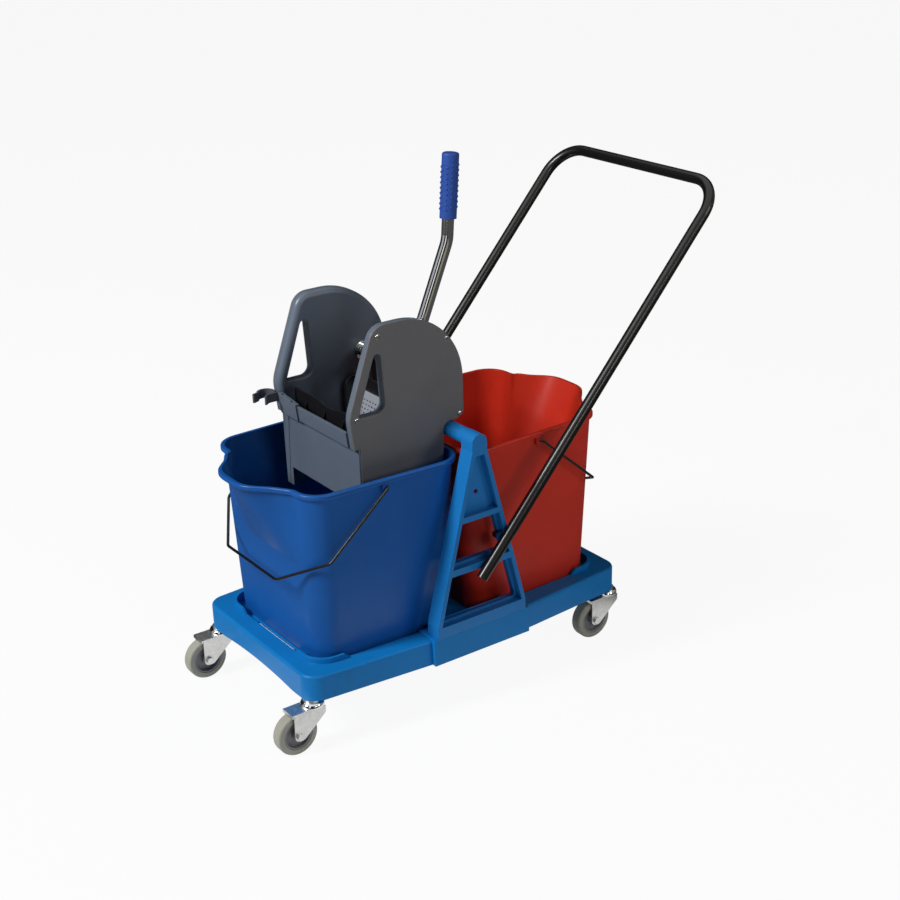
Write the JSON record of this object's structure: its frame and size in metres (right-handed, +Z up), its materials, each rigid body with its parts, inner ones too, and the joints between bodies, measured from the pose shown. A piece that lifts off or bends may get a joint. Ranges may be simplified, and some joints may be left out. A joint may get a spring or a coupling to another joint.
{
  "type": "double-bucket mop trolley",
  "caption": "Rolling mop trolley with a red and a blue lift-out bucket, a slanted push handle and a lever-operated mop wringer hung over the front bucket.",
  "frame": {"origin": "on the floor under the middle of the chassis", "axes": "+X to the rear (the push handle's side), +Y to the right seen from behind the front, +Z up"},
  "size_m": [0.931, 0.4524, 0.9284],
  "materials": {
    "chassis_blue": "bright mid-blue moulded plastic, softly glossy",
    "frame_blue": "bright mid-blue moulded plastic, a shade lighter",
    "bucket_blue": "royal-blue moulded plastic",
    "bucket_red": "orange-red moulded plastic",
    "wringer_grey": "slate-grey moulded plastic with a fine grain",
    "cover_grey": "dark neutral grey plastic",
    "clip_grey": "dark grey springy plastic",
    "black_plastic": "black plastic",
    "plate_grey": "light grey plastic",
    "black_tube": "steel tube with black powder coat, semi-gloss",
    "black_wire": "steel wire with black coat",
    "chrome": "bright plated steel",
    "zinc": "zinc-plated steel",
    "spring_steel": "spring wire",
    "wheel_grey": "grey moulded wheel centre",
    "tyre_grey": "grey non-marking tyre",
    "grip_blue": "blue soft sleeve with raised dots"
  },
  "bodies": {
    "chassis": {"rear_tray": "chassis_blue", "front_tray": "chassis_blue", "bridge": "chassis_blue", "tray_bolts": "zinc", "left_a_frame": "frame_blue", "right_a_frame": "frame_blue", "frame_bolts": "zinc", "push_handle": "black_tube", "handle_plugs": "black_plastic", "handle_bolts": "zinc", "front_left_caster_stem": "zinc", "front_right_caster_stem": "zinc", "rear_left_caster_stem": "zinc", "rear_right_caster_stem": "zinc"},
    "left_knob": {"left_handle_knob": "black_plastic"},
    "right_knob": {"right_handle_knob": "black_plastic"},
    "red_bucket": {"red_bucket": "bucket_red"},
    "red_bail": {"red_bucket_bail": "black_wire"},
    "blue_bucket": {"blue_bucket": "bucket_blue"},
    "blue_bail": {"blue_bucket_bail": "black_wire"},
    "wringer": {"left_wringer_panel": "wringer_grey", "right_wringer_panel": "wringer_grey", "left_panel_cover": "cover_grey", "right_panel_cover": "cover_grey", "cover_screws": "chrome", "wringer_front_strip": "wringer_grey", "wringer_front_plate": "wringer_grey", "wringer_rear_plate": "wringer_grey", "wringer_floor": "wringer_grey", "front_sieve": "black_plastic", "clip_block": "wringer_grey", "pole_clip": "clip_grey", "return_spring": "spring_steel"},
    "press": {"press_shaft": "chrome", "press_jaw": "black_plastic", "press_plate": "plate_grey", "wringer_lever": "chrome", "lever_grip": "grip_blue"},
    "front_left_fork": {"front_left_caster_cup": "chrome", "front_left_caster_fork": "zinc", "front_left_caster_axle": "zinc"},
    "front_left_wheel": {"front_left_caster_wheel": "wheel_grey", "front_left_caster_tyre": "tyre_grey"},
    "front_right_fork": {"front_right_caster_cup": "chrome", "front_right_caster_fork": "zinc", "front_right_caster_axle": "zinc"},
    "front_right_wheel": {"front_right_caster_wheel": "wheel_grey", "front_right_caster_tyre": "tyre_grey"},
    "rear_left_fork": {"rear_left_caster_cup": "chrome", "rear_left_caster_fork": "zinc", "rear_left_caster_axle": "zinc"},
    "rear_left_wheel": {"rear_left_caster_wheel": "wheel_grey", "rear_left_caster_tyre": "tyre_grey"},
    "rear_right_fork": {"rear_right_caster_cup": "chrome", "rear_right_caster_fork": "zinc", "rear_right_caster_axle": "zinc"},
    "rear_right_wheel": {"rear_right_caster_wheel": "wheel_grey", "rear_right_caster_tyre": "tyre_grey"}
  },
  "joints": [
    {"name": "front_left_swivel", "type": "hinge", "parent": "chassis", "child": "front_left_fork", "pos_m": [-0.3215, -0.159, 0.085], "axis": [0, 0, 1], "continuous": true},
    {"name": "front_left_roll", "type": "hinge", "parent": "front_left_fork", "child": "front_left_wheel", "pos_m": [-0.3575, -0.159, 0.0375], "axis": [0, 1, 0], "continuous": true},
    {"name": "front_right_swivel", "type": "hinge", "parent": "chassis", "child": "front_right_fork", "pos_m": [-0.3215, 0.159, 0.085], "axis": [0, 0, 1], "continuous": true},
    {"name": "front_right_roll", "type": "hinge", "parent": "front_right_fork", "child": "front_right_wheel", "pos_m": [-0.3575, 0.159, 0.0375], "axis": [0, 1, 0], "continuous": true},
    {"name": "rear_left_swivel", "type": "hinge", "parent": "chassis", "child": "rear_left_fork", "pos_m": [0.3215, -0.159, 0.085], "axis": [0, 0, 1], "continuous": true},
    {"name": "rear_left_roll", "type": "hinge", "parent": "rear_left_fork", "child": "rear_left_wheel", "pos_m": [0.2855, -0.159, 0.0375], "axis": [0, 1, 0], "continuous": true},
    {"name": "rear_right_swivel", "type": "hinge", "parent": "chassis", "child": "rear_right_fork", "pos_m": [0.3215, 0.159, 0.085], "axis": [0, 0, 1], "continuous": true},
    {"name": "rear_right_roll", "type": "hinge", "parent": "rear_right_fork", "child": "rear_right_wheel", "pos_m": [0.2855, 0.159, 0.0375], "axis": [0, 1, 0], "continuous": true},
    {"name": "left_knob_turn", "type": "hinge", "parent": "chassis", "child": "left_knob", "pos_m": [0.04401, -0.19, 0.29414], "axis": [0, 1, 0], "continuous": true},
    {"name": "right_knob_turn", "type": "hinge", "parent": "chassis", "child": "right_knob", "pos_m": [0.04401, 0.19, 0.29414], "axis": [0, 1, 0], "continuous": true},
    {"name": "red_bucket_lift", "type": "slide", "parent": "chassis", "child": "red_bucket", "axis": [0.5446, 0, 0.8387], "range_m": [0, 0.17]},
    {"name": "blue_bucket_lift", "type": "slide", "parent": "chassis", "child": "blue_bucket", "axis": [-0.5446, 0, 0.8387], "range_m": [0, 0.17]},
    {"name": "red_bail_swing", "type": "hinge", "parent": "red_bucket", "child": "red_bail", "pos_m": [0.16042, 0, 0.4323], "axis": [0, -1, 0], "range_deg": [0, 131]},
    {"name": "blue_bail_swing", "type": "hinge", "parent": "blue_bucket", "child": "blue_bail", "pos_m": [-0.16042, 0, 0.4323], "axis": [0, 1, 0], "range_deg": [0, 101]},
    {"name": "wringer_lift", "type": "slide", "parent": "blue_bucket", "child": "wringer", "axis": [0, 0, 1], "range_m": [0, 0.13]},
    {"name": "lever_pull", "type": "hinge", "parent": "wringer", "child": "press", "pos_m": [-0.027, 0, 0.568], "axis": [0, 1, 0], "range_deg": [0, 35], "stiffness_Nm_per_rad": 3, "springref_deg": -29.79}
  ]
}
